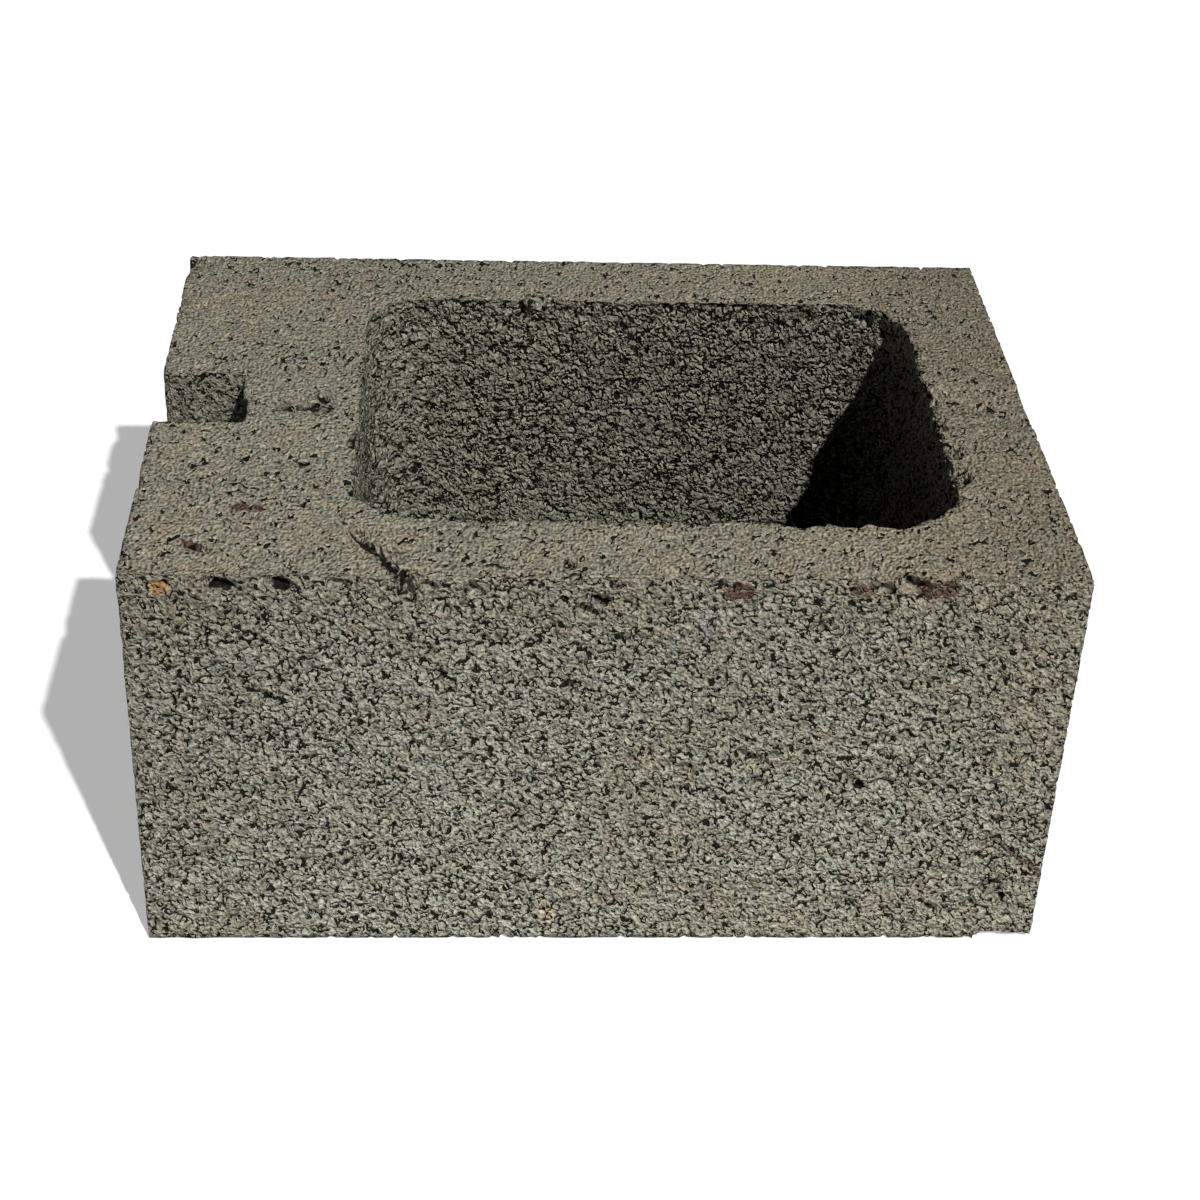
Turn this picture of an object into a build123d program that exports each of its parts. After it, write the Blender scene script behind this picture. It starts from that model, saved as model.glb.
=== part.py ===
"""A hollow concrete masonry block, cast in one piece, with one large core and a joint groove down one end.

Millimetres. X runs along the block, from the grooved end to the plain end, Y across the wall's thickness
and Z up. The origin is the centre of the bed face that the block rests on.
"""

import os

from build123d import *

# Outside of the block: the nominal module less one mortar joint each way
block_length = 397.0
block_width = 295.0
block_height = 194.0

# Walls round the core, measured on the top bed face, where the core is widest
face_shell = 45.0
grooved_web = 92.0
plain_web = 45.0

# The core tapers towards the bottom, so that its former lifts out through the top
core_corner_radius = 30.0
core_draft_angle = 0.9

# The joint groove runs down the middle of the grooved end
groove_width = 44.0
groove_depth = 38.0
groove_root_radius = 4.0
groove_draft_angle = 0.4

# The bar that held the core's former left a shallow trough across the plain web
trough_width = 40.0
trough_depth = 1.5

# Cast concrete has no sharp arris
arris_radius = 2.0

left_end = -block_length / 2
right_end = block_length / 2
core_length = block_length - grooved_web - plain_web
core_width = block_width - 2 * face_shell
core_centre = left_end + grooved_web + core_length / 2
top_bed = Plane.XY.offset(block_height)

with BuildPart() as concrete_block:
    Box(block_length, block_width, block_height, align=(Align.CENTER, Align.CENTER, Align.MIN))

    # Core, right through the block from bed to bed
    with BuildSketch(top_bed) as core_mouth:
        with Locations((core_centre, 0)):
            RectangleRounded(core_length, core_width, core_corner_radius)
    extrude(amount=-block_height, taper=core_draft_angle, mode=Mode.SUBTRACT)

    # Joint groove, drawn about the end face at twice its depth, so that half of it cuts the block
    with BuildSketch(top_bed) as groove_mouth:
        with Locations((left_end, 0)):
            RectangleRounded(2 * groove_depth, groove_width, groove_root_radius)
    extrude(amount=-block_height, taper=groove_draft_angle, mode=Mode.SUBTRACT)

    # Arrises: all round both beds, mouths included, and up the corners and the groove's mouth at the ends
    edges = concrete_block.edges()
    bed_arrises = edges.group_by(Axis.Z)[0] + edges.group_by(Axis.Z)[-1]
    uprights = (edges - bed_arrises).group_by(Axis.X)
    fillet(bed_arrises + uprights[0] + uprights[-1], radius=arris_radius)

    # Trough of the core bar, from the middle of the core out through the plain end
    with BuildSketch(Plane.YZ.offset(core_centre)) as trough_section:
        with Locations((0, block_height)):
            Ellipse(trough_width / 2, trough_depth)
    extrude(amount=right_end - core_centre, mode=Mode.SUBTRACT)

concrete_block.part.label = "concrete_block"

os.makedirs("parts", exist_ok=True)
export_step(concrete_block.part, "parts/concrete_block.step")
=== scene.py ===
"""A weathered hollow concrete block on a pale studio floor: its cast body, chips, open texture and stones.

The scene is in metres. Sizes and places of the block's own features are in millimetres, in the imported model's
frame: X runs from the grooved end to the plain end, Y from the near face to the far one, and Z up from the
bottom bed to the top bed.
"""

import logging
import math
from dataclasses import dataclass, field
from enum import Enum
from typing import Optional, Union

import bpy
from mathutils import Matrix, Vector


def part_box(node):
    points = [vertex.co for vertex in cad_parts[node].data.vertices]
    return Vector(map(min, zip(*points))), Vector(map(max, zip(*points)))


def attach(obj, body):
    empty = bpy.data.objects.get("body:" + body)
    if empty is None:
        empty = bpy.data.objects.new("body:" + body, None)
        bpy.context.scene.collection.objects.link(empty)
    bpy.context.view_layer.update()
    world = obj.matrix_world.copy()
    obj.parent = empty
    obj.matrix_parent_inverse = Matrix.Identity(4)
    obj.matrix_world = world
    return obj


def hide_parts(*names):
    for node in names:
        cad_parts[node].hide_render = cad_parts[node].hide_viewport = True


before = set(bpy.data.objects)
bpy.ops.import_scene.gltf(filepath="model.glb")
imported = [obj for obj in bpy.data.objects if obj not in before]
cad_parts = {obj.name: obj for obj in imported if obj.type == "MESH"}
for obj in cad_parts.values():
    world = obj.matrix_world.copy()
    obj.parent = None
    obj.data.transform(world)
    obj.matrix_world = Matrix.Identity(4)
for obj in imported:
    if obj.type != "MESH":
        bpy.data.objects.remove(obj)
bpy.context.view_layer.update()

NODE = "concrete_block"
BODY = "root"
MM = 0.001
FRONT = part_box(NODE)[0].y / MM
MARK_SUNK = 1.0
MARK_DEPTH_SHARE = 0.12

log = logging.getLogger("concrete_block")

Point = tuple[float, float, float]
Colour = tuple[float, float, float]
Span = tuple[float, float]
Socket = bpy.types.NodeSocket
Number = Union[float, "Value"]


class Value:
    """A number that varies over a surface: a socket on which Python's operators add Math nodes."""

    def __init__(self, graph: "Graph", socket: Socket) -> None:
        """Wraps an output socket of a graph's tree."""
        self.graph = graph
        self.socket = socket

    def __add__(self, other: Number) -> "Value":
        """This number plus another."""
        return self.graph.math("ADD", self, other)

    __radd__ = __add__

    def __sub__(self, other: Number) -> "Value":
        """This number less another."""
        return self.graph.math("SUBTRACT", self, other)

    def __rsub__(self, other: Number) -> "Value":
        """Another number less this one."""
        return self.graph.math("SUBTRACT", other, self)

    def __mul__(self, other: Number) -> "Value":
        """This number times another."""
        return self.graph.math("MULTIPLY", self, other)

    __rmul__ = __mul__

    def __truediv__(self, other: Number) -> "Value":
        """This number over another."""
        return self.graph.math("DIVIDE", self, other)

    def __pow__(self, other: Number) -> "Value":
        """This number to a power."""
        return self.graph.math("POWER", self, other)

    def __abs__(self) -> "Value":
        """This number without its sign."""
        return self.graph.math("ABSOLUTE", self)

    def least(self, other: Number) -> "Value":
        """The lesser of this number and another."""
        return self.graph.math("MINIMUM", self, other)

    def most(self, other: Number) -> "Value":
        """The greater of this number and another."""
        return self.graph.math("MAXIMUM", self, other)

    def rise(self, low: Number, high: Number) -> "Value":
        """Goes smoothly from 0, where this number is at low or under, to 1, where it is at high or over."""
        made = self.graph.node("ShaderNodeMapRange", {"interpolation_type": "SMOOTHSTEP"},
                               {"Value": self, "From Min": low, "From Max": high})
        return Value(self.graph, made.outputs[0])

    def fall(self, low: Number, high: Number) -> "Value":
        """Goes smoothly from 1, where this number is at low or under, to 0, where it is at high or over."""
        return 1 - self.rise(low, high)


class Graph:
    """A node tree, for a material or for a mesh's relief, that expressions add their nodes to."""

    def __init__(self, tree: bpy.types.NodeTree) -> None:
        """Wraps a tree."""
        self.tree = tree

    def feed(self, socket: Socket, value: object) -> None:
        """Links a socket to a value's or another node's socket, or else sets its own number or vector."""
        if isinstance(value, Value):
            value = value.socket
        if isinstance(value, Socket):
            self.tree.links.new(value, socket)
        else:
            socket.default_value = value

    def node(self, kind: str, settings: Optional[dict] = None,
             inputs: Optional[dict] = None) -> bpy.types.Node:
        """Adds a node.

        Args:
            kind: The node's type.
            settings: Its properties, which are set before its sockets.
            inputs: Its sockets' numbers, colours or links, by name or index.

        Returns:
            The new node.
        """
        made = self.tree.nodes.new(kind)
        for name, value in (settings or {}).items():
            setattr(made, name, value)
        for key, value in (inputs or {}).items():
            self.feed(made.inputs[key], value)
        return made

    def math(self, operation: str, *values: Number) -> Value:
        """Adds a Math node.

        Args:
            operation: What it does.
            values: Its numbers, in order.

        Returns:
            Its result.
        """
        made = self.node("ShaderNodeMath", {"operation": operation}, dict(enumerate(values)))
        return Value(self, made.outputs[0])

    def vector(self, operation: str, *values: object) -> Socket:
        """Adds a Vector Math node.

        Args:
            operation: What it does.
            values: Its vectors, in order, and after them Scale's number.

        Returns:
            Its vector.
        """
        made = self.node("ShaderNodeVectorMath", {"operation": operation})
        for socket, value in zip([socket for socket in made.inputs if socket.enabled], values):
            self.feed(socket, value)
        return made.outputs[0]

    def dot(self, first: object, second: object) -> Value:
        """The dot product of two vectors."""
        made = self.node("ShaderNodeVectorMath", {"operation": "DOT_PRODUCT"}, {0: first, 1: second})
        return Value(self, made.outputs["Value"])

    def length(self, vector: object) -> Value:
        """A vector's length."""
        made = self.node("ShaderNodeVectorMath", {"operation": "LENGTH"}, {0: vector})
        return Value(self, made.outputs["Value"])

    def parts(self, vector: Socket) -> tuple[Value, Value, Value]:
        """A vector's three numbers."""
        made = self.node("ShaderNodeSeparateXYZ", inputs={0: vector})
        return tuple(Value(self, socket) for socket in made.outputs)

    def noise(self, place: Socket, size: float, detail: float = 2.0,
              roughness: float = 0.5) -> bpy.types.Node:
        """Adds a cloudy noise.

        Args:
            place: Where it is read, in millimetres.
            size: The breadth of its patches, in millimetres.
            detail: How many finer layers it has.
            roughness: How strong they are.

        Returns:
            The node. Its first output is the number, its second a colour.
        """
        return self.node("ShaderNodeTexNoise", {"noise_dimensions": "3D"},
                         {"Vector": place, "Scale": 1 / size, "Detail": detail, "Roughness": roughness})

    def cloud(self, place: Socket, size: float, detail: float = 2.0,
              roughness: float = 0.5) -> Value:
        """A cloudy noise's number, about 0.5 on average."""
        return Value(self, self.noise(place, size, detail, roughness).outputs[0])

    def cells(self, place: Socket) -> Value:
        """How far a place, in cells, is from the middle of the nearest cell of an uneven pattern."""
        made = self.node("ShaderNodeTexVoronoi", {"voronoi_dimensions": "3D", "feature": "F1"},
                         {"Vector": place, "Scale": 1.0, "Randomness": 1.0})
        return Value(self, made.outputs["Distance"])

    def join(self, *values: Number) -> Socket:
        """A vector of three numbers."""
        return self.node("ShaderNodeCombineXYZ", inputs=dict(enumerate(values))).outputs[0]

    def mix(self, share: Number, low: object, high: object) -> Socket:
        """Mixes two colours.

        Args:
            share: How much there is of the second one, from 0 to 1.
            low: The first colour.
            high: The second one.

        Returns:
            The mixture.
        """
        made = self.node("ShaderNodeMix", {"data_type": "RGBA"})
        for key, value in ((0, share), (6, low), (7, high)):
            self.feed(made.inputs[key], (*value, 1.0) if isinstance(value, tuple) else value)
        return made.outputs[2]


class Face(Enum):
    """The kinds of surface that the mould and the weather gave the block."""

    SIDE = "side"
    BED = "bed"
    CORE = "core"


@dataclass(frozen=True)
class Texture:
    """How rough the concrete is on one kind of surface.

    Attributes:
        wander: How far the crevices stray from their even lines, in millimetres.
        gap: How broad they are, as a share of the spaces between them.
        shut: How much of the surface is closed, as a level of the noise that opens it.
        depth: How deep their sides look, in millimetres.
        crumb: How high the paste's fine lumps are, in millimetres.
        speckle: How strongly sand lightens and darkens the colour.
        rim: How pale the crevices' rims are: partly paste broken pale, partly a painted highlight of their lit
            edges.
    """

    wander: float
    gap: float
    shut: float
    depth: float
    crumb: float
    speckle: float
    rim: float


TEXTURES = {
    Face.SIDE: Texture(wander=1.4, gap=0.42, shut=0.42, depth=2.0, crumb=1.7, speckle=0.9, rim=0.36),
    Face.BED: Texture(wander=1.6, gap=0.44, shut=0.55, depth=1.2, crumb=0.5, speckle=1.2, rim=0.34),
    Face.CORE: Texture(wander=1.4, gap=0.52, shut=0.40, depth=2.2, crumb=2.2, speckle=1.0, rim=0.38),
}


class Attribute(Enum):
    """What each point of the block's mesh remembers for its material."""

    REST = "rest_place"
    BED = "bed_share"
    CORE = "core_share"
    # HOLLOW: how far each point sinks below its neighbours, which the material darkens as painted shade
    HOLLOW = "hollow_depth"


@dataclass(frozen=True)
class Chip:
    """A hollow where concrete broke or fell out.

    Attributes:
        start: One end of the line through its middle, in millimetres.
        end: The other end.
        width: Its width across that line.
        depth: How tall the lump that it takes away is, times its width. Half of it is in the concrete.
        up: Which of the lump's own axes points upwards, so that its Z goes into the face.
    """

    start: Point
    end: Point
    width: float
    depth: float = 2.0
    up: str = "Z"


class Tint(Enum):
    """The colours of stones and marks that the photograph shows at known places."""

    RUST = (0.075, 0.036, 0.027)
    ORANGE = (0.260, 0.150, 0.065)
    BROWN = (0.105, 0.070, 0.050)
    GREY = (0.215, 0.215, 0.195)
    PALE = (0.420, 0.370, 0.270)
    # Painted shade: near-black put in pits and in the tear, where their shadow falls
    BLACK = (0.004, 0.004, 0.003)


@dataclass(frozen=True)
class Mark:
    """A stone that shows in the surface, or painted shade in a hollow.

    Attributes:
        start: One end of the line through its middle, in millimetres.
        end: The other end.
        radius: How far it reaches from that line.
        tint: Its colour.
        across: What each axis's distance is taken times: whole along the face, and a small share into it.
    """

    start: Point
    end: Point
    radius: float
    tint: Tint
    across: Point


@dataclass
class CastForm:
    """The block's plain form and its chips. Sizes are in millimetres, and the core's draft is in degrees."""

    face_shell: float = 45.0
    grooved_web: float = 92.0
    plain_web: float = 45.0
    core_radius: float = 30.0
    core_draft: float = 0.9
    groove_width: float = 44.0
    groove_depth: float = 38.0
    groove_radius: float = 4.0
    trough_width: float = 40.0
    trough_depth: float = 1.5
    overshoot: float = 20.0
    corner_steps: int = 8
    bar_sides: int = 64
    chip_roughness: float = 0.08
    voxel: float = 1.1
    triangles: int = 198_000
    chips: list[Chip] = field(default_factory=list)

    def __post_init__(self) -> None:
        """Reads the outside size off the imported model."""
        low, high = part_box(NODE)
        self.low, self.high = low / MM, high / MM
        self.length, self.width, self.height = self.high - self.low
        self.core_length = self.length - self.grooved_web - self.plain_web
        self.core_width = self.width - 2 * self.face_shell
        self.core_middle = self.low.x + self.grooved_web + self.core_length / 2

    def block_of(self, name: str, low: Point, high: Point) -> bpy.types.Object:
        """Adds a box.

        Args:
            name: Its name.
            low: Its lowest corner, in millimetres.
            high: Its highest corner.

        Returns:
            The box, with its place in its mesh.
        """
        low, high = Vector(low) * MM, Vector(high) * MM
        bpy.ops.object.select_all(action="DESELECT")
        bpy.ops.mesh.primitive_cube_add(size=1.0, location=(low + high) / 2)
        made = bpy.context.object
        made.name = name
        made.scale = high - low
        bpy.ops.object.transform_apply(location=True, rotation=True, scale=True)
        return made

    def former(self, name: str, middle: float, size: tuple[float, float], radius: float) -> bpy.types.Object:
        """Models a tapered former with rounded corners, as the mould has for each void.

        Args:
            name: Its name.
            middle: Where its middle is along the block.
            size: Its length and width at the top bed.
            radius: Its corners' radius.

        Returns:
            The former, longer than the block is high.
        """
        slope = math.tan(math.radians(self.core_draft))
        grow = self.overshoot * slope
        shrink = (self.height + self.overshoot) * slope
        half = Vector((size[0] / 2, size[1] / 2))
        made = self.block_of(name, (middle - half.x - grow, -half.y - grow, -self.overshoot),
                             (middle + half.x + grow, half.y + grow, self.height + self.overshoot))
        bpy.ops.object.mode_set(mode="EDIT")
        bpy.ops.mesh.select_all(action="DESELECT")
        bpy.ops.object.mode_set(mode="OBJECT")
        for vertex in made.data.vertices:
            vertex.select = vertex.co.z < 0
        bpy.ops.object.mode_set(mode="EDIT")
        taper = ((half.x - shrink) / (half.x + grow), (half.y - shrink) / (half.y + grow), 1)
        bpy.ops.transform.resize(value=taper, center_override=(middle * MM, 0, 0))
        bpy.ops.mesh.select_all(action="DESELECT")
        bpy.ops.object.mode_set(mode="OBJECT")
        for edge in made.data.edges:
            ends = [made.data.vertices[i].co for i in edge.vertices]
            edge.select = abs(ends[0].z - ends[1].z) > self.height * MM
        bpy.ops.object.mode_set(mode="EDIT")
        bpy.ops.mesh.select_mode(type="EDGE")
        bpy.ops.mesh.bevel(offset=radius * MM, segments=self.corner_steps, affect="EDGES")
        bpy.ops.object.mode_set(mode="OBJECT")
        return made

    def core_bar(self) -> bpy.types.Object:
        """Models the bar that left the shallow trough across the plain web.

        Returns:
            The bar, longer than the web is thick.
        """
        bpy.ops.object.select_all(action="DESELECT")
        reach = self.high.x - self.core_middle + self.overshoot
        middle = self.core_middle + reach / 2
        bpy.ops.mesh.primitive_cylinder_add(vertices=self.bar_sides, radius=1.0, depth=1.0,
                                            rotation=(0, math.pi / 2, 0),
                                            location=(middle * MM, 0, self.height * MM))
        made = bpy.context.object
        made.name = "core_bar"
        bpy.ops.object.transform_apply(location=False, rotation=True, scale=True)
        made.scale = Vector((reach, self.trough_width / 2, self.trough_depth)) * MM
        bpy.ops.object.transform_apply(location=True, rotation=True, scale=True)
        return made

    def chip_tool(self, number: int, chip: Chip) -> bpy.types.Object:
        """Models the rough lump that a chip takes away.

        Args:
            number: The chip's number, which seeds its roughness.
            chip: The chip.

        Returns:
            The lump.
        """
        bpy.ops.object.select_all(action="DESELECT")
        bpy.ops.mesh.primitive_ico_sphere_add(subdivisions=3, radius=0.5)
        made = bpy.context.object
        bpy.ops.object.mode_set(mode="EDIT")
        bpy.ops.transform.vertex_random(offset=self.chip_roughness, seed=number)
        bpy.ops.object.mode_set(mode="OBJECT")
        start, end = Vector(chip.start), Vector(chip.end)
        along = end - start
        made.scale = Vector((along.length + chip.width, chip.width, chip.width * chip.depth)) * MM
        made.rotation_euler = along.to_track_quat("X", chip.up).to_euler()
        made.location = (start + end) / 2 * MM
        bpy.ops.object.transform_apply(location=True, rotation=True, scale=True)
        return made

    def cut(self, piece: bpy.types.Object, tools: list[bpy.types.Object]) -> None:
        """Takes tools away from a piece, and removes them.

        Args:
            piece: The piece.
            tools: The shapes to take away, which may overlap.
        """
        bpy.ops.object.select_all(action="DESELECT")
        for tool in tools:
            tool.select_set(True)
        bpy.context.view_layer.objects.active = tools[0]
        if len(tools) > 1:
            bpy.ops.object.join()
        tool = bpy.context.object
        bpy.ops.object.select_all(action="DESELECT")
        bpy.context.view_layer.objects.active = piece
        piece.select_set(True)
        modifier = piece.modifiers.new("cut", "BOOLEAN")
        modifier.operation = "DIFFERENCE"
        modifier.solver = "EXACT"
        modifier.use_self = True
        modifier.object = tool
        bpy.ops.object.modifier_apply(modifier=modifier.name)
        bpy.data.objects.remove(tool)

    def cast(self) -> bpy.types.Object:
        """Models the whole block.

        Returns:
            The block, closed, with its voids and chips cut away, remeshed.
        """
        piece = self.block_of("cast_block", self.low, self.high)
        core = self.former("core_former", self.core_middle, (self.core_length, self.core_width),
                           self.core_radius)
        groove = self.former("groove_former", self.low.x, (2 * self.groove_depth, self.groove_width),
                             self.groove_radius)
        for tool in (core, groove, self.core_bar()):
            self.cut(piece, [tool])
        if self.chips:
            self.cut(piece, [self.chip_tool(number, chip) for number, chip in enumerate(self.chips)])
        remesh = piece.modifiers.new("grain_mesh", "REMESH")
        remesh.mode = "VOXEL"
        remesh.voxel_size = self.voxel * MM
        bpy.ops.object.modifier_apply(modifier=remesh.name)
        log.info("%s is cast, with %d chips: %d faces", piece.name, len(self.chips), len(piece.data.polygons))
        return piece


class ReliefGraph(Graph):
    """The node tree of a geometry modifier: a mesh passes through it, is moved, and remembers values."""

    def __init__(self) -> None:
        """Makes the tree, with one mesh going in and one coming out."""
        super().__init__(bpy.data.node_groups.new("weathering", "GeometryNodeTree"))
        for way in ("INPUT", "OUTPUT"):
            self.tree.interface.new_socket("Geometry", in_out=way, socket_type="NodeSocketGeometry")
        self.mesh = self.node("NodeGroupInput").outputs[0]
        self.place = self.node("GeometryNodeInputPosition").outputs[0]
        self.normal = self.node("GeometryNodeInputNormal").outputs[0]

    def store(self, name: Attribute, value: Union[Value, Socket]) -> None:
        """Keeps a number or a vector on the mesh's points, under a name."""
        kind = "FLOAT" if isinstance(value, Value) else "FLOAT_VECTOR"
        made = self.node("GeometryNodeStoreNamedAttribute", {"data_type": kind, "domain": "POINT"},
                         {"Geometry": self.mesh, "Name": name.value, "Value": value})
        self.mesh = made.outputs[0]

    def kept(self, name: Attribute, kind: str = "FLOAT") -> Socket:
        """What was stored on the mesh's points under a name."""
        made = self.node("GeometryNodeInputNamedAttribute", {"data_type": kind}, {"Name": name.value})
        return made.outputs[0]

    def blurred(self, vector: Socket, steps: int) -> Socket:
        """A vector averaged with its neighbours' a number of times."""
        made = self.node("GeometryNodeBlurAttribute", {"data_type": "FLOAT_VECTOR"},
                         {"Value": vector, "Iterations": steps})
        return made.outputs[0]

    def move(self, how: str, vector: Socket) -> None:
        """Moves the mesh's points by a vector, as their Offset, or to it, as their Position."""
        made = self.node("GeometryNodeSetPosition", inputs={"Geometry": self.mesh, how: vector})
        self.mesh = made.outputs[0]


@dataclass(frozen=True)
class Weathering:
    """The relief that casting and wear gave the block, as a geometry modifier.

    Sizes and depths are in millimetres, and a blur is a number of steps over the mesh. Each span holds the
    two numbers between which a share rises from 0 to 1.
    """

    # Which surface is which
    slope_blur: int = 2
    bed_slope: Span = (0.55, 0.85)
    core_margin: float = 1.5

    # Worn arrises
    arris_blur: int = 5
    arris_bend: Span = (0.05, 0.3)
    arris_least: float = 0.5
    arris_bite: float = 0.35
    weak_size: float = 6.0
    weak: Span = (0.42, 0.70)
    rim_bite: float = 4.5
    rim_band: Span = (4, 8)
    rim_right: Span = (60, 150)
    rim_left_share: float = 0.3

    # Open texture
    side_gap: float = 1.6
    bed_gap: float = 0.9
    core_gap: float = 2.0
    crevice_size: float = 3.6
    crevice: Span = (0.37, 0.46)
    core_lump: float = 2.4
    core_lump_size: float = 6.0
    lump: float = 1.0
    lump_size: float = 7.0
    lump_shift: Point = (13.0, 5.0, 29.0)
    pit: float = 2.5
    pit_size: float = 5.5
    pit_shift: Point = (51.0, 7.0, 3.0)
    pits: Span = (0.66, 0.76)
    bed_spared: float = 0.5
    skin: float = 0.25
    hollow_blur: int = 6

    def sort(self, graph: ReliefGraph, rest: Socket, form: CastForm) -> None:
        """Notes how far each point belongs to a bed, and how far to the core's walls.

        Args:
            graph: The modifier's tree.
            rest: Where each point was before the relief.
            form: The block's sizes.
        """
        x, y, _ = graph.parts(rest)
        half_length, half_width = form.core_length / 2, form.core_width / 2
        bed = abs(graph.parts(graph.blurred(graph.normal, self.slope_blur))[2]).rise(*self.bed_slope)
        inner = abs(x - form.core_middle).fall(half_length, half_length + self.core_margin) * \
            abs(y).fall(half_width, half_width + self.core_margin)
        graph.store(Attribute.BED, bed)
        graph.store(Attribute.CORE, inner * (1 - bed))

    def wear(self, graph: ReliefGraph, rest: Socket, form: CastForm) -> None:
        """Rounds the arrises, more where the concrete was weak, and most at the right of the core's rim.

        Args:
            graph: The modifier's tree.
            rest: Where each point was before the relief.
            form: The block's sizes.
        """
        x, y, _ = graph.parts(rest)
        weak = graph.cloud(rest, self.weak_size, 3.0, 0.6).rise(*self.weak)
        by_core = (abs(x - form.core_middle) - form.core_length / 2).fall(*self.rim_band) * \
            (abs(y) - form.core_width / 2).fall(*self.rim_band)
        at_right = x.rise(*self.rim_right) * (1 - self.rim_left_share) + self.rim_left_share
        bite = weak * (by_core * at_right * self.rim_bite + self.arris_bite) + self.arris_least
        inward = graph.vector("SUBTRACT", graph.blurred(graph.place, self.arris_blur), graph.place)
        convex = (graph.dot(inward, graph.normal) / -MM).rise(*self.arris_bend)
        graph.move("Offset", graph.vector("SCALE", inward, bite * convex))

    def roughen(self, graph: ReliefGraph, rest: Socket) -> None:
        """Sinks crevices and holes between the plates that the mould pressed, and lumps into the core.

        Args:
            graph: The modifier's tree.
            rest: Where each point was before the relief.
        """
        core = Value(graph, graph.kept(Attribute.CORE))
        bed = Value(graph, graph.kept(Attribute.BED))
        dome = graph.cells(graph.vector("SCALE", rest, 1 / self.core_lump_size)) ** 2
        crevice = graph.cloud(rest, self.crevice_size).fall(*self.crevice)
        rough = graph.cloud(graph.vector("ADD", rest, self.lump_shift), self.lump_size, 2.0, 0.6)
        holes = graph.cloud(graph.vector("ADD", rest, self.pit_shift), self.pit_size, 1.0).rise(*self.pits)
        gap = self.side_gap * (1 - bed) * (1 - core) + self.bed_gap * bed + self.core_gap * core
        depth = crevice * gap + rough * self.lump + dome * core * self.core_lump + \
            holes * (1 - bed * self.bed_spared) * self.pit + self.skin
        graph.move("Offset", graph.vector("SCALE", graph.normal, depth * -MM))

    def hold(self, graph: ReliefGraph, form: CastForm) -> None:
        """Keeps every point inside the plain form's box, by the depth of the skin.

        Args:
            graph: The modifier's tree.
            form: The block's sizes.
        """
        inset = Vector((self.skin, self.skin, self.skin))
        held = graph.vector("MAXIMUM", graph.place, tuple((form.low + inset) * MM))
        held = graph.vector("MINIMUM", held, tuple((form.high - inset) * MM))
        graph.move("Position", held)

    def apply(self, piece: bpy.types.Object, form: CastForm) -> None:
        """Adds the relief to a piece's mesh, and what its material reads.

        Args:
            piece: The remeshed block.
            form: The block's sizes.
        """
        graph = ReliefGraph()
        graph.store(Attribute.REST, graph.vector("SCALE", graph.place, 1 / MM))
        rest = graph.kept(Attribute.REST, "FLOAT_VECTOR")
        self.sort(graph, rest, form)
        self.wear(graph, rest, form)
        self.roughen(graph, rest)
        self.hold(graph, form)
        # How sunk each point is, kept for the material's painted shade in hollows
        around = graph.blurred(graph.place, self.hollow_blur)
        sunk = graph.dot(graph.vector("SUBTRACT", around, graph.place), graph.normal) / MM
        graph.store(Attribute.HOLLOW, sunk)
        graph.node("NodeGroupOutput", inputs={0: graph.mesh})

        modifier = piece.modifiers.new("weathering", "NODES")
        modifier.node_group = graph.tree
        bpy.ops.object.modifier_apply(modifier=modifier.name)
        thin = piece.modifiers.new("thin", "DECIMATE")
        thin.ratio = form.triangles / (2 * len(piece.data.polygons))
        bpy.ops.object.modifier_apply(modifier=thin.name)
        bpy.ops.object.shade_smooth()
        log.info("%s has its relief: %d triangles", piece.name, len(piece.data.polygons))


class SurfaceGraph(Graph):
    """The material's node tree, with what the block's mesh remembers at each point."""

    def __init__(self, tree: bpy.types.NodeTree) -> None:
        """Reads the mesh's attributes."""
        super().__init__(tree)
        self.rest = self.kept(Attribute.REST).outputs["Vector"]
        self.bed = Value(self, self.kept(Attribute.BED).outputs["Fac"])
        self.core = Value(self, self.kept(Attribute.CORE).outputs["Fac"])
        self.hollow = Value(self, self.kept(Attribute.HOLLOW).outputs["Fac"])
        self.x, self.y, self.z = self.parts(self.rest)

    def kept(self, name: Attribute) -> bpy.types.Node:
        """What the mesh remembers under a name."""
        return self.node("ShaderNodeAttribute", {"attribute_name": name.value})

    def by_face(self, name: str) -> Value:
        """A texture's number, as it is on each kind of surface."""
        side, on_bed, on_core = (getattr(TEXTURES[face], name) for face in Face)
        return self.bed * (on_bed - side) + self.core * (on_core - side) + side


@dataclass(frozen=True)
class Drift:
    """A smooth change: the two places or levels between which it goes on, and how much it is in all."""

    low: float
    high: float
    amount: float

    def up(self, place: Value) -> Value:
        """Grows from nothing, at the low place, to the whole amount at the high one."""
        return place.rise(self.low, self.high) * self.amount

    def down(self, place: Value) -> Value:
        """Shrinks from the whole amount, at the low place, to nothing at the high one."""
        return place.fall(self.low, self.high) * self.amount


@dataclass(frozen=True)
class Grain:
    """The concrete's fine pattern at a point of the surface.

    Attributes:
        place: Where its noises are read, in millimetres.
        stray: A small vector that differs from grain to grain.
        fine: The paste's fine lumps, about 0.5 on average.
        grit: The sand, about 0.5 on average.
        patch: How loose the concrete is there, about 0.5 on average.
        wash: A broad change over the whole block, about 0.5 on average.
        in_groove: 1 in the joint groove, and 0 outside it.
        edge: How far the nearest crevice's middle is, as a share of the spaces between crevices.
        width: How broad that crevice is, in the same measure.
        opening: How open the concrete is, from 0 to 1.
        gap: 1 in a crevice, and 0 beside it.
    """

    place: Socket
    stray: Socket
    fine: Value
    grit: Value
    patch: Value
    wash: Value
    in_groove: Value
    edge: Value
    width: Value
    opening: Value
    gap: Value


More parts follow.
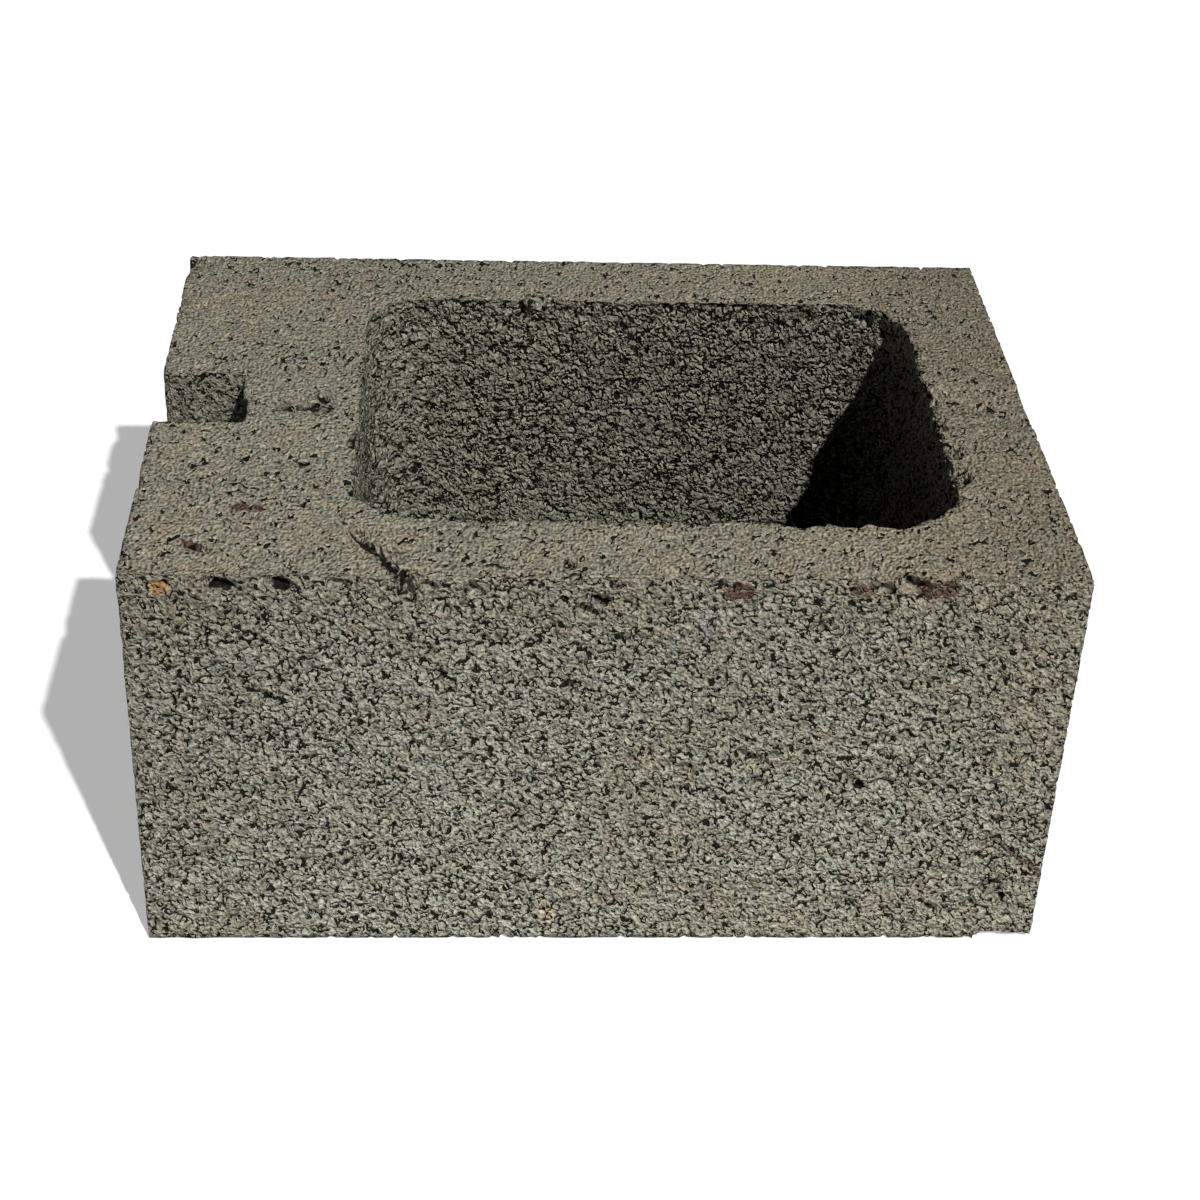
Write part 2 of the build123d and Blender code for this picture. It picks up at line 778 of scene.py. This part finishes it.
@dataclass(frozen=True)
class Concrete:
    """The finish: grey-green cement paste, browner in patches, over sand and stones, with its crevices and
    hollows painted dark as their shade.

    Sizes and places are in millimetres, and what isn't a size or a colour is a share, mostly from 0 to 1.
    """

    roughness: float = 0.92
    specular: float = 0.08
    side: Colour = (0.273, 0.273, 0.222)
    side_brown: Colour = (0.243, 0.217, 0.160)
    bed: Colour = (0.214, 0.205, 0.162)
    bed_brown: Colour = (0.246, 0.212, 0.150)
    core: Colour = (0.150, 0.147, 0.112)
    # Painted shade: the near-black that crevices and hollows are filled with, standing in for their shadow
    gap: Colour = (0.004, 0.004, 0.003)
    # Pale rims by the crevices: partly paste broken pale, partly a painted highlight of their lit edges
    pale: Colour = (0.420, 0.385, 0.290)

    # Sand, paste and crevices
    shrink: float = 0.1
    stretch: float = 0.35
    fine_size: float = 1.9
    grit: float = 1.0
    grit_size: float = 1.1
    grit_shift: Point = (3.0, 5.0, 71.0)
    grain: float = 3.5
    grain_shift: Point = (31.0, 17.0, 5.0)
    steep: float = 6.0
    patch_size: float = 3.4
    patch_shift: Point = (7.0, 53.0, 11.0)
    patch_edge: float = 0.08
    wash_size: float = 60.0
    gap_least: float = 0.02
    gap_wall: float = 0.55
    gap_open: Span = (0.0, 0.3)
    groove_side: Span = (21, 23)
    groove_end: Span = (-150, -100)
    core_smooth: Drift = Drift(-100, -20, 0.08)
    groove_smooth: float = 0.06
    wash_smooth: float = 0.25

    # Where the paste is browner
    washed: Span = (0.45, 0.75)
    bed_washed: float = 0.5
    tan_size: float = 8.0
    tan: Drift = Drift(0.46, 0.66, 0.6)
    top_band: float = 40.0
    top_brown: float = 0.6
    right_brown: Drift = Drift(120, 200, 0.5)
    bed_right_brown: Drift = Drift(-120, 180, 0.5)
    brown_most: float = 0.8

    # Where it is lighter and darker
    side_light: float = 1.08
    top_dim: float = 0.20
    left_dim: Drift = Drift(-200, -60, 0.12)
    # Painted shade: the joint groove is darkened, as a recess in shadow
    groove_painted_shade: float = 0.22
    back_dim: Drift = Drift(-100, 150, 0.12)
    bed_right_dim: Drift = Drift(80, 200, 0.22)
    # The core's level, with painted light on its left wall that falls off toward the right, and painted shade
    # toward its right wall
    core_tone_and_painted_light: float = 1.45
    core_left_light_falloff: Drift = Drift(-106, -70, 0.25)
    core_right_painted_shade: Drift = Drift(-60, 100, 0.2)
    # Painted light and shade of the paste's lumps: higher lumps lighter, lower ones darker
    fine_painted_shade: float = 0.8
    patch_shade: float = 0.8
    tinge: float = 0.3

    # Stones; crevices' pale rims, partly a painted highlight; painted shade in crevices and hollows
    ragged: float = 2.4
    stone_edge: Span = (-0.4, 0.4)
    stone_share: float = 0.92
    pale_rim_and_highlight_reach: float = 0.7
    painted_crevice_shade: Span = (0.1, 0.7)
    hollow_shade_least: float = 0.75
    core_hollow_shade: float = 0.1
    hollow_shade_reach: float = 0.7
    painted_shade_most: float = 0.97

    def beyond(self, graph: Graph, place: Socket, marks: list[Mark]) -> Value:
        """How far a place is outside the nearest of some marks.

        Args:
            graph: The material's tree.
            place: The place, in millimetres.
            marks: The marks.

        Returns:
            The distance in millimetres, negative inside a mark.
        """
        nearest = None
        for mark in marks:
            across = Vector(mark.across)
            line = (Vector(mark.end) - Vector(mark.start)) * across
            offset = graph.vector("MULTIPLY_ADD", place, mark.across, tuple(-Vector(mark.start) * across))
            along = graph.dot(offset, tuple(line / line.length_squared)).most(0).least(1)
            apart = graph.length(graph.vector("SUBTRACT", offset, graph.vector("SCALE", tuple(line), along)))
            inside = apart - mark.radius
            nearest = inside if nearest is None else nearest.least(inside)
        return nearest

    def pattern(self, graph: SurfaceGraph) -> Grain:
        """Works out the fine pattern. Its crevices follow the level lines of a noise that the paste warps.

        Args:
            graph: The material's tree.

        Returns:
            The pattern.
        """
        x, y = graph.x, graph.y
        flat = graph.math("GREATER_THAN", graph.bed, 0.5)
        scale = graph.join(1 - flat * self.shrink, 1 - flat * self.stretch, 1.0)
        grain_place = graph.vector("MULTIPLY", graph.rest, scale)
        relief = graph.noise(grain_place, self.fine_size, 1.0, 0.6)
        grit = graph.cloud(graph.vector("ADD", grain_place, self.grit_shift), self.grit_size, 0.0)
        stray = graph.vector("SUBTRACT", relief.outputs[1], (0.5, 0.5, 0.5))
        place = graph.vector("ADD", grain_place, graph.vector("SCALE", stray, graph.by_face("wander") * 2))
        level = graph.cloud(graph.vector("ADD", place, self.grain_shift), self.grain, 0.0)
        edge = abs(level - 0.5) * self.steep
        patch = graph.cloud(graph.vector("ADD", grain_place, self.patch_shift), self.patch_size, 1.0)
        in_groove = abs(y).fall(*self.groove_side) * x.fall(*self.groove_end)
        wash = graph.cloud(graph.rest, self.wash_size, 2.0, 0.6)
        smooth = graph.core * self.core_smooth.down(x) + in_groove * self.groove_smooth + \
            (wash - 0.5) * self.wash_smooth
        shut = graph.by_face("shut") + smooth
        opening = patch.rise(shut, shut + self.patch_edge)
        width = graph.by_face("gap") * opening + self.gap_least
        gap = edge.fall(width * self.gap_wall, width) * opening.rise(*self.gap_open)
        return Grain(place=grain_place, stray=stray, fine=Value(graph, relief.outputs[0]), grit=grit,
                     patch=patch, wash=wash, in_groove=in_groove, edge=edge, width=width, opening=opening,
                     gap=gap)

    def height(self, graph: SurfaceGraph, grain: Grain) -> Value:
        """How high the surface stands, for the bump.

        Args:
            graph: The material's tree.
            grain: The fine pattern.

        Returns:
            The height, in millimetres.
        """
        wall = (1 - (grain.edge / (grain.width * 2.0)).least(1)) * grain.opening
        lumps = grain.fine * 2 * graph.by_face("crumb")
        return lumps - wall * graph.by_face("depth") + grain.grit * self.grit

    def paste(self, graph: SurfaceGraph, grain: Grain) -> Socket:
        """The paste's own colour, on each kind of surface and from place to place.

        Args:
            graph: The material's tree.
            grain: The fine pattern.

        Returns:
            The colour.
        """
        x, y, z = graph.x, graph.y, graph.z
        tall = form_height()
        washed = grain.wash.rise(*self.washed)
        tan = self.tan.up(graph.cloud(grain.place, self.tan_size, 1.0))
        at_top = z.rise(tall - self.top_band, tall) * self.top_brown
        brown = (washed + tan + at_top + self.right_brown.up(x)).least(1)
        bed_brown = (washed * self.bed_washed + tan + self.bed_right_brown.up(x)).least(1)
        # The groove's darkening is painted shade
        light = self.side_light - z.rise(0, tall) * self.top_dim - self.left_dim.down(x) - \
            grain.in_groove * self.groove_painted_shade
        bed_light = 1.0 - self.back_dim.up(y) - self.bed_right_dim.up(x)
        # Core: painted light on its left wall, and painted shade toward its right wall
        core_tone_and_painted_light = self.core_tone_and_painted_light - self.core_left_light_falloff.up(x) - self.core_right_painted_shade.up(x)
        on_side = graph.vector("SCALE", graph.mix(brown * self.brown_most, self.side, self.side_brown), light)
        on_bed = graph.vector("SCALE", graph.mix(bed_brown, self.bed, self.bed_brown), bed_light)
        colour = graph.mix(graph.bed, on_side, on_bed)
        return graph.mix(graph.core, colour, graph.vector("SCALE", self.core, core_tone_and_painted_light))

    def colour(self, graph: SurfaceGraph, grain: Grain) -> Socket:
        """The surface's colour: the paste's, with stones, sand, pale rims that are partly a painted highlight,
        and painted shade in crevices and hollows.

        Args:
            graph: The material's tree.
            grain: The fine pattern.

        Returns:
            The colour.
        """
        colour = self.paste(graph, grain)
        place = graph.vector("ADD", graph.rest, graph.vector("SCALE", grain.stray, self.ragged))
        shares = {}
        for tint in Tint:
            marks = [mark for mark in MARKS if mark.tint is tint]
            shares[tint] = self.beyond(graph, place, marks).fall(*self.stone_edge)
        # The black marks are painted shade in pits and the tear, laid over everything else
        black = shares.pop(Tint.BLACK)
        for tint, share in shares.items():
            colour = graph.mix(share * self.stone_share, colour, tint.value)
        # Sand speckle and patches vary the tone; the paste's higher lumps are painted lighter and lower ones
        # darker, as painted light and shade of its relief
        shade = 1 + (grain.grit - 0.5) * 2 * graph.by_face("speckle") + \
            (grain.fine - 0.5) * self.fine_painted_shade + (grain.patch - 0.5) * self.patch_shade
        colour = graph.vector("SCALE", colour, shade)
        tinge = graph.vector("MULTIPLY_ADD", grain.stray, (self.tinge,) * 3, (1.0, 1.0, 1.0))
        colour = graph.vector("MULTIPLY", colour, tinge)
        # Pale rims by the crevices: partly paste broken pale, partly a painted highlight of their lit edges
        rim = grain.edge.fall(grain.width, grain.width + self.pale_rim_and_highlight_reach) * grain.opening * (1 - grain.gap) * \
            graph.by_face("rim")
        colour = graph.mix(rim, colour, self.pale)
        # Painted shade: crevices, sunk hollows and the black marks are darkened toward near-black, as their
        # shadow
        least = self.hollow_shade_least + graph.core * self.core_hollow_shade
        sunk = graph.hollow.rise(least, least + self.hollow_shade_reach)
        deep = (grain.gap.rise(*self.painted_crevice_shade) + sunk + black).least(1)
        return graph.mix(deep * self.painted_shade_most, colour, self.gap)

    def build(self) -> bpy.types.Material:
        """Makes the material.

        Returns:
            The material, which reads the block's own attributes.
        """
        material = bpy.data.materials.new("open_texture_concrete")
        material.use_nodes = True
        graph = SurfaceGraph(material.node_tree)
        shader = material.node_tree.nodes["Principled BSDF"]
        shader.inputs["Roughness"].default_value = self.roughness
        shader.inputs["Specular IOR Level"].default_value = self.specular
        grain = self.pattern(graph)
        bump = graph.node("ShaderNodeBump", inputs={"Distance": MM, "Filter Width": 1.0,
                                                    "Height": self.height(graph, grain)})
        graph.feed(shader.inputs["Normal"], bump.outputs[0])
        graph.feed(shader.inputs["Base Color"], self.colour(graph, grain))
        return material


def form_height() -> float:
    """The block's height, in millimetres."""
    low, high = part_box(NODE)
    return (high.z - low.z) / MM


@dataclass
class Studio:
    """The floor, the light and the camera.

    The floor is in metres, the camera's place and lens are in millimetres, and its angles are in degrees.
    """

    floor_half: float = 6.0
    floor_colour: Colour = (0.62, 0.62, 0.62)
    floor_lift: float = 0.40
    sun_from: Point = (0.275, -0.631, 0.725)
    sun_strength: float = 4.4
    sun_angle: float = 1.0
    sky_low: float = 0.75
    sky_high: float = 0.0
    sky_span: Span = (0.05, 0.5)
    lens: float = 70.0
    sensor: float = 36.0
    camera_place: Point = (-57.0, -931.6, 704.9)
    camera_azimuth: float = -3.86
    camera_drop: float = 33.59
    camera_roll: float = 2.59

    def build(self) -> None:
        """Sets the studio up."""
        self.floor()
        self.light()
        self.camera()
        log.info("the studio stands")

    def floor(self) -> None:
        """Lays the pale floor, which shows white where nothing shades it."""
        bpy.ops.object.select_all(action="DESELECT")
        bpy.ops.mesh.primitive_plane_add(size=2 * self.floor_half)
        floor = bpy.context.object
        floor.name = "studio_floor"
        material = bpy.data.materials.new("pale_floor")
        material.use_nodes = True
        graph = Graph(material.node_tree)
        shader = material.node_tree.nodes["Principled BSDF"]
        shader.inputs["Base Color"].default_value = (*self.floor_colour, 1)
        shader.inputs["Roughness"].default_value = 1.0
        shader.inputs["Specular IOR Level"].default_value = 0.0
        seen = Value(graph, graph.node("ShaderNodeLightPath").outputs["Is Camera Ray"])
        shader.inputs["Emission Color"].default_value = (1, 1, 1, 1)
        graph.feed(shader.inputs["Emission Strength"], seen * self.floor_lift)
        floor.data.materials.append(material)

    def light(self) -> None:
        """Hangs the key light and sets the sky."""
        lamp = bpy.data.lights.new("key", "SUN")
        lamp.energy = self.sun_strength
        lamp.angle = math.radians(self.sun_angle)
        key = bpy.data.objects.new("key", lamp)
        bpy.context.scene.collection.objects.link(key)
        key.rotation_euler = Vector(self.sun_from).to_track_quat("Z", "Y").to_euler()
        world = bpy.data.worlds.new("studio")
        bpy.context.scene.world = world
        world.use_nodes = True
        graph = Graph(world.node_tree)
        seen = Value(graph, graph.node("ShaderNodeLightPath").outputs["Is Camera Ray"])
        back = world.node_tree.nodes["Background"]
        back.inputs["Color"].default_value = (1, 1, 1, 1)
        upward = graph.parts(graph.node("ShaderNodeTexCoord").outputs["Generated"])[2]
        sky = self.sky_low - upward.rise(*self.sky_span) * (self.sky_low - self.sky_high)
        graph.feed(back.inputs["Strength"], sky.most(seen))

    def camera(self) -> None:
        """Stands the camera where the photograph was taken from."""
        data = bpy.data.cameras.new("camera")
        data.lens = self.lens
        data.sensor_width = self.sensor
        camera = bpy.data.objects.new("camera", data)
        bpy.context.scene.collection.objects.link(camera)
        turn = Matrix.Rotation(math.radians(self.camera_azimuth), 4, "Z")
        tilt = Matrix.Rotation(math.radians(90 - self.camera_drop), 4, "X")
        roll = Matrix.Rotation(math.radians(self.camera_roll), 4, "Z")
        camera.matrix_world = Matrix.Translation(Vector(self.camera_place) * MM) @ turn @ tilt @ roll
        bpy.context.scene.camera = camera


def dress(piece: bpy.types.Object) -> None:
    """Gives the block its finish and its body, and hides the node that it replaces.

    Args:
        piece: The weathered block.
    """
    piece.data.materials.clear()
    piece.data.materials.append(Concrete().build())
    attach(piece, BODY)
    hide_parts(NODE)
    log.info("%s is dressed", piece.name)


def on_bed(x: float, y: float, to_x: float, to_y: float, width: float, depth: float = 2.0) -> Chip:
    """A hollow in the top bed, from one place on it to another."""
    top = form_height()
    return Chip((x, y, top), (to_x, to_y, top), width, depth)


def on_front(x: float, z: float, to_x: float, to_z: float, width: float, depth: float = 2.0) -> Chip:
    """A hollow in the near face, from one place on it to another."""
    return Chip((x, FRONT, z), (to_x, FRONT, to_z), width, depth, "Y")


CHIPS = [
    # The grooved end's arris
    on_bed(-200, 126, -196, 140, 6),
    on_bed(-199, 97, -196, 93, 5),
    on_bed(-199, -70, -198, -76, 5),
    # The row of pits by the groove
    on_bed(-160, -1, -160, -22, 3.5, 3.0),
    on_bed(-142, -10, -137, -8, 4.5),
    on_bed(-132, -8, -127, -6, 5.0),
    on_bed(-124, 3, -123, -2, 4.5),
    on_bed(-125, -12, -120, -9, 5.0),
    on_bed(-129, -59, -128, -58, 4.0),
    # The core's left rim and near left corner
    on_bed(-107, -34, -107, -41, 6),
    on_bed(-105, -82, -99, -83, 6.5),
    on_bed(-93, -89, -89, -91, 6),
    # A crack in the thick web, and the core's far rim
    on_bed(-140, 77, -132, 58, 3.0, 1.0),
    on_bed(-69, 99, -60, 98, 8),
    on_bed(-83, 94, -77, 95, 6),
    on_bed(-28, 105, -18, 105, 8),
    # Single pits in the thick web
    on_bed(-168, -78, -167, -77, 4.5),
    on_bed(-163, 112, -162, 112, 4.5),
    on_bed(-171, -124, -163, -128, 4.0),
    # The tear from the core's near left corner to the near arris
    on_bed(-105, -111, -101, -121, 4.0, 1.5),
    on_bed(-101, -120, -94, -130, 4.0, 1.5),
    on_bed(-92, -125, -90, -134, 3.5, 1.5),
    on_bed(-94, -131, -86, -143, 4.5, 1.5),
    on_bed(-84, -142, -82, -150, 5.5, 1.5),
    # Single pits in the near face shell
    on_bed(-15, -144, -13, -146, 4.5),
    on_bed(-19, -135, -17, -136, 4.5),
    # The plain end's arris
    on_bed(200, 6, 200, -9, 4),
    on_bed(195, -18, 196, -19, 4),
    on_bed(200, -74, 200, -80, 4),
    # The crack across the plain web
    on_bed(163, 14, 172, 6, 4.5, 1.5),
    on_bed(174, 5, 184, -3, 4.5, 1.5),
    on_bed(186, -5, 197, -11, 5.0, 1.5),
    # The core's right rim
    on_bed(149, 66, 151, 52, 8, 1.5),
    on_bed(153, 16, 155, 5, 7, 1.5),
    on_bed(154, -12, 155, -20, 6),
    on_bed(154, -36, 157, -44, 8),
    on_bed(154, -55, 157, -66, 9, 1.5),
    # The core's near rim
    on_bed(128, -101, 116, -102, 7),
    on_bed(106, -102, 98, -102, 6),
    on_bed(90, -102, 74, -102, 6),
    on_bed(40, -102, 34, -102, 5),
    on_bed(5, -102, -1, -102, 4),
    on_bed(-50, -102, -54, -102, 5),
    # The near face's top arris
    on_front(-160, 190, -152, 187, 4.5),
    on_front(-135, 190, -129, 188, 4.5),
    on_front(-112, 189, -108, 188, 4.5),
    on_front(-83, 190, -81, 180, 6.0),
    on_front(-75, 188, -72, 187, 4.5),
    on_front(-57, 187, -53, 186, 4.5),
    on_front(-11, 177, -7, 175, 6.0),
    on_front(-6, 183, -3, 181, 4.5),
    on_front(110, 188, 114, 188, 4.5),
    on_front(119, 192, 127, 190, 6.0),
    # Cracks and pits in the near face
    on_front(2, 164, 19, 162, 2.8),
    on_front(99, 170, 114, 172, 2.8),
    on_front(-44, 95, -23, 87, 2.6),
    on_front(60, 103, 65, 100, 5.5),
    on_front(65, 88, 69, 88, 4.5),
    on_front(33, 96, 37, 96, 4.5),
    on_front(97, 98, 115, 85, 3.0),
    # Pits near its lower right corner
    on_front(174, 31, 178, 32, 5.5),
    on_front(177, 24, 181, 25, 5.0),
    on_front(148, 17, 150, 17, 4.5),
    on_front(166, 20, 168, 20, 4.5),
    on_front(189, 18, 191, 18, 4.5),
    # Single pits elsewhere in it
    on_front(-41, 74, -39, 75, 4.5),
    on_front(-37, 68, -35, 69, 4.5),
    on_front(-17, 139, -15, 140, 4.0),
    on_front(-19, 128, -17, 129, 4.0),
    on_front(193, 143, 196, 144, 3.5),
    on_front(193, 128, 195, 129, 3.5),
    on_front(162, 105, 164, 106, 4.0),
    # Its broken lower right corner
    on_front(172, 1.5, 199, 0, 5.0, 3.0),
]


def bed_mark(x: float, y: float, to_x: float, to_y: float, radius: float, tint: Tint = Tint.BLACK) -> Mark:
    """A mark in the top bed, from one place on it to another."""
    top = form_height() - MARK_SUNK
    return Mark((x, y, top), (to_x, to_y, top), radius, tint, (1, 1, MARK_DEPTH_SHARE))


def front_mark(x: float, z: float, to_x: float, to_z: float, radius: float, tint: Tint = Tint.BLACK) -> Mark:
    """A mark in the near face, from one place on it to another."""
    face = FRONT + MARK_SUNK
    return Mark((x, face, z), (to_x, face, to_z), radius, tint, (1, MARK_DEPTH_SHARE, 1))


MARKS = [
    # Painted shade in the bottoms of pits in the bed
    bed_mark(-160, -3, -159, -21, 2.6),
    bed_mark(-141, -10, -138, -8, 1.6),
    bed_mark(-131, -8, -127, -6, 1.8),
    bed_mark(-124, 2, -122, -3, 1.6),
    bed_mark(-124, -12, -121, -10, 1.8),
    bed_mark(-107, -35, -107, -41, 2.0),
    bed_mark(-105, -82, -101, -83, 2.6),
    bed_mark(-92, -88, -91, -91, 2.0),
    # Painted shade in the bottom of the tear
    bed_mark(-105, -113, -102, -119, 0.6),
    bed_mark(-102, -119, -94, -130, 0.9),
    bed_mark(-93, -125, -91, -133, 0.7),
    bed_mark(-93, -131, -86, -142, 0.9),
    bed_mark(-84, -142, -82, -146, 1.2),
    # Painted shade in the bottoms of pits in the near face
    front_mark(-159, 188, -153, 187, 1.2),
    front_mark(-134, 188, -130, 187, 1.2),
    # Stones
    bed_mark(-154, -95, -151, -95, 2.6, Tint.RUST),
    bed_mark(-146, -95, -144, -97, 1.8, Tint.RUST),
    bed_mark(-172, -122, -167, -126, 1.8, Tint.RUST),
    front_mark(50, 187, 55, 187, 3.8, Tint.RUST),
    front_mark(129, 188, 139, 189, 3.8, Tint.RUST),
    front_mark(-182, 187, -180, 187, 3.6, Tint.ORANGE),
    front_mark(171, 61, 197, 38, 1.6, Tint.BROWN),
    front_mark(101, 188, 105, 188, 3.2, Tint.BROWN),
    front_mark(40, 169, 40, 175, 4.6, Tint.GREY),
    front_mark(-21, 13, -21, 19, 3.8, Tint.PALE),
]


def main() -> None:
    """Builds the block and its studio, in order."""
    logging.basicConfig(level=logging.INFO, format="%(name)s: %(message)s")
    bpy.context.scene.view_settings.view_transform = "Standard"
    form = CastForm(chips=CHIPS)
    piece = form.cast()
    Weathering().apply(piece, form)
    dress(piece)
    Studio().build()


if __name__ == "__main__":
    main()
